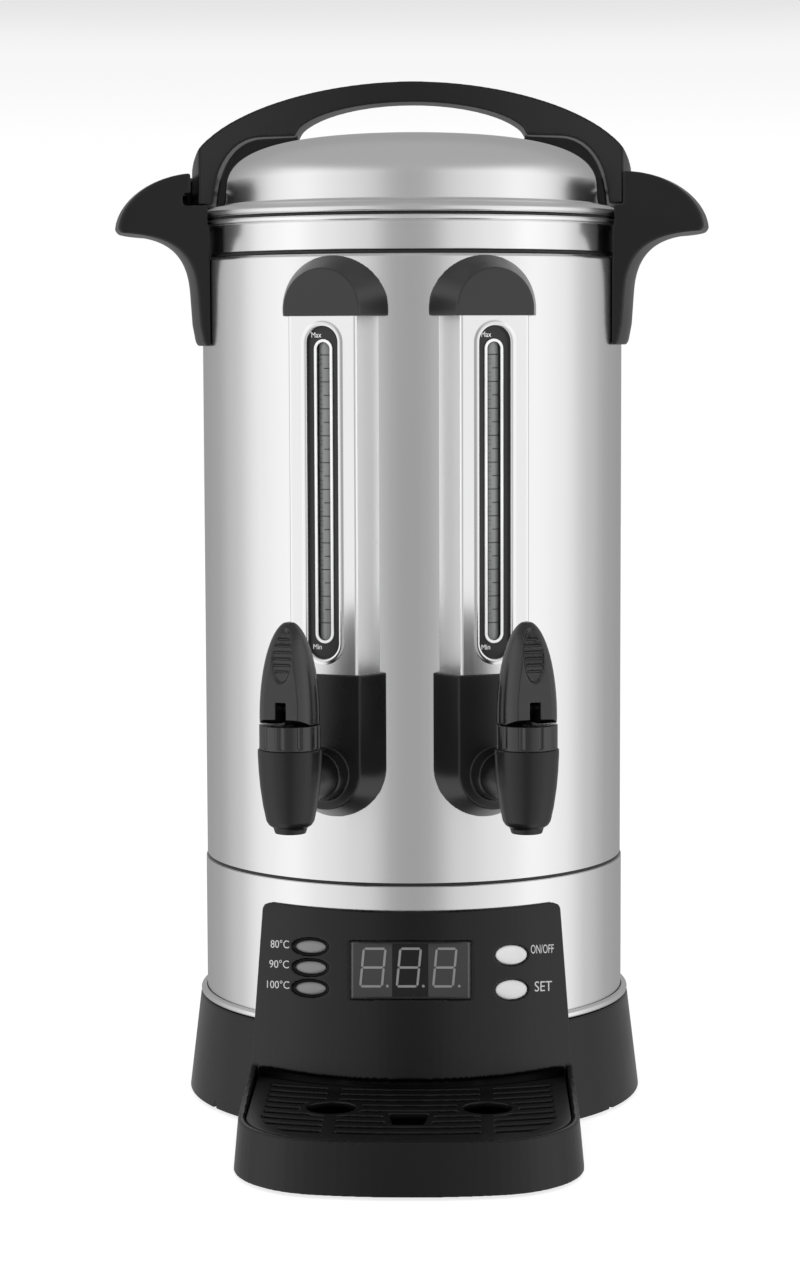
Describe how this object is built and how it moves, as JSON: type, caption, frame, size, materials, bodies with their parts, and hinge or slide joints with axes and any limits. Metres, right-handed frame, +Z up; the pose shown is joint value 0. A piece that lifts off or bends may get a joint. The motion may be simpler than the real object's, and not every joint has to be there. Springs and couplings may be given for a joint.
{
  "type": "hot water urn",
  "caption": "Upright steel hot water urn with a domed locking lid, two side grips, twin sight gauges over lever taps, a front control panel with display, and a drip tray.",
  "frame": {"origin": "centre of the bounding box's underside, where the rubber feet meet the table", "axes": "+Z up through the lid, -Y towards the taps and the drip tray, +X to the right of someone facing the taps"},
  "size_m": [0.3106, 0.3512, 0.5326],
  "materials": {
    "shell_steel": "brushed",
    "bright_steel": "polished",
    "black_plastic": "satin, fine grain",
    "gauge_black": "satin",
    "white_plastic": "satin",
    "clear_tube": "clear",
    "dark_window": "gloss",
    "display_black": "satin",
    "grey_lens": "gloss",
    "board_green": "satin",
    "seal_black": "matt",
    "silicone": "matt",
    "foot_rubber": "matt",
    "fastener_steel": "plain",
    "heater_metal": "cast",
    "element_steel": "heat-stained",
    "ceramic_tan": "matt",
    "wire": "satin"
  },
  "bodies": {
    "urn_body": {"outer_shell": "shell_steel", "neck_ring": "bright_steel", "inner_tank": "bright_steel", "lower_band": "shell_steel", "trim_ring": "bright_steel", "base_skirt": "black_plastic", "base_plate": "black_plastic", "rubber_feet": "foot_rubber", "base_screws": "fastener_steel", "side_grip_left": "black_plastic", "side_grip_right": "black_plastic", "side_grip_screws": "fastener_steel", "column_cover_left": "shell_steel", "column_cover_right": "shell_steel", "column_cap_left": "black_plastic", "column_cap_right": "black_plastic", "tap_housing_left": "black_plastic", "tap_housing_right": "black_plastic", "gauge_plates": "gauge_black", "gauge_frames": "white_plastic", "sight_tubes": "clear_tube", "gauge_fittings": "white_plastic", "tube_seals": "silicone", "tap_body_left": "black_plastic", "tap_body_right": "black_plastic", "tap_bonnet_left": "black_plastic", "tap_bonnet_right": "black_plastic", "tap_spring_left": "fastener_steel", "tap_spring_right": "fastener_steel", "tap_washers": "silicone", "tap_lock_nuts": "fastener_steel", "front_housing": "black_plastic", "display_window": "dark_window", "display_module": "display_black", "indicator_lenses": "grey_lens", "control_board": "board_green", "push_switches": "display_black", "heat_plate": "heater_metal", "heating_element": "element_steel", "dry_boil_thermostat": "ceramic_tan", "temperature_probe": "fastener_steel", "power_board": "board_green", "power_inlet": "black_plastic", "wiring_harness": "wire"},
    "lid_seal_ring": {"lid_seal": "seal_black"},
    "lid": {"lid_dome": "shell_steel", "lid_pan": "bright_steel", "lid_handle": "black_plastic", "lid_handle_screws": "fastener_steel"},
    "tap_valve_left": {"tap_stem_left": "black_plastic", "tap_seat_left": "silicone"},
    "tap_valve_right": {"tap_stem_right": "black_plastic", "tap_seat_right": "silicone"},
    "lever_left": {"tap_lever_left": "black_plastic"},
    "lever_right": {"tap_lever_right": "black_plastic"},
    "power_key": {"power_button": "white_plastic"},
    "set_key": {"set_button": "white_plastic"},
    "drip_tray": {"drip_basin": "black_plastic", "drip_grille": "black_plastic"}
  },
  "joints": [
    {"name": "lid_lift", "type": "slide", "parent": "urn_body", "child": "lid_seal_ring", "axis": [0, 0, 1], "range_m": [0, 0.12]},
    {"name": "lid_twist", "type": "hinge", "parent": "lid_seal_ring", "child": "lid", "pos_m": [0, 0.0554, 0.462], "axis": [0, 0, 1], "range_deg": [0, 30]},
    {"name": "tap_stem_left_lift", "type": "slide", "parent": "urn_body", "child": "tap_valve_left", "axis": [0, 0, 1], "range_m": [0, 0.004], "deforming": ["tap_spring_left"]},
    {"name": "tap_lever_left_tilt", "type": "hinge", "parent": "tap_valve_left", "child": "lever_left", "pos_m": [-0.05712, -0.10153, 0.2227], "axis": [0.9397, -0.342, 0], "range_deg": [0, 40], "stiffness_Nm_per_rad": 0.03, "springref_deg": -60.16},
    {"name": "tap_stem_right_lift", "type": "slide", "parent": "urn_body", "child": "tap_valve_right", "axis": [0, 0, 1], "range_m": [0, 0.004], "deforming": ["tap_spring_right"]},
    {"name": "tap_lever_right_tilt", "type": "hinge", "parent": "tap_valve_right", "child": "lever_right", "pos_m": [0.05712, -0.10153, 0.2227], "axis": [0.9397, 0.342, 0], "range_deg": [0, 40], "stiffness_Nm_per_rad": 0.03, "springref_deg": -60.16},
    {"name": "power_button_press", "type": "slide", "parent": "urn_body", "child": "power_key", "axis": [0, 0.9882, -0.153], "range_m": [0, 0.0012], "stiffness_N_per_m": 500, "springref_m": -0.0006},
    {"name": "set_button_press", "type": "slide", "parent": "urn_body", "child": "set_key", "axis": [0, 0.9882, -0.153], "range_m": [0, 0.0012], "stiffness_N_per_m": 500, "springref_m": -0.0006},
    {"name": "drip_tray_tilt", "type": "hinge", "parent": "urn_body", "child": "drip_tray", "pos_m": [0, -0.0666, 0.0272], "axis": [-1, 0, 0], "range_deg": [0, 20]}
  ],
  "couplings": [
    {"joint": "tap_stem_left_lift", "follows": "tap_lever_left_tilt", "m_per_rad": 0.005729},
    {"joint": "tap_stem_right_lift", "follows": "tap_lever_right_tilt", "m_per_rad": 0.005729}
  ]
}
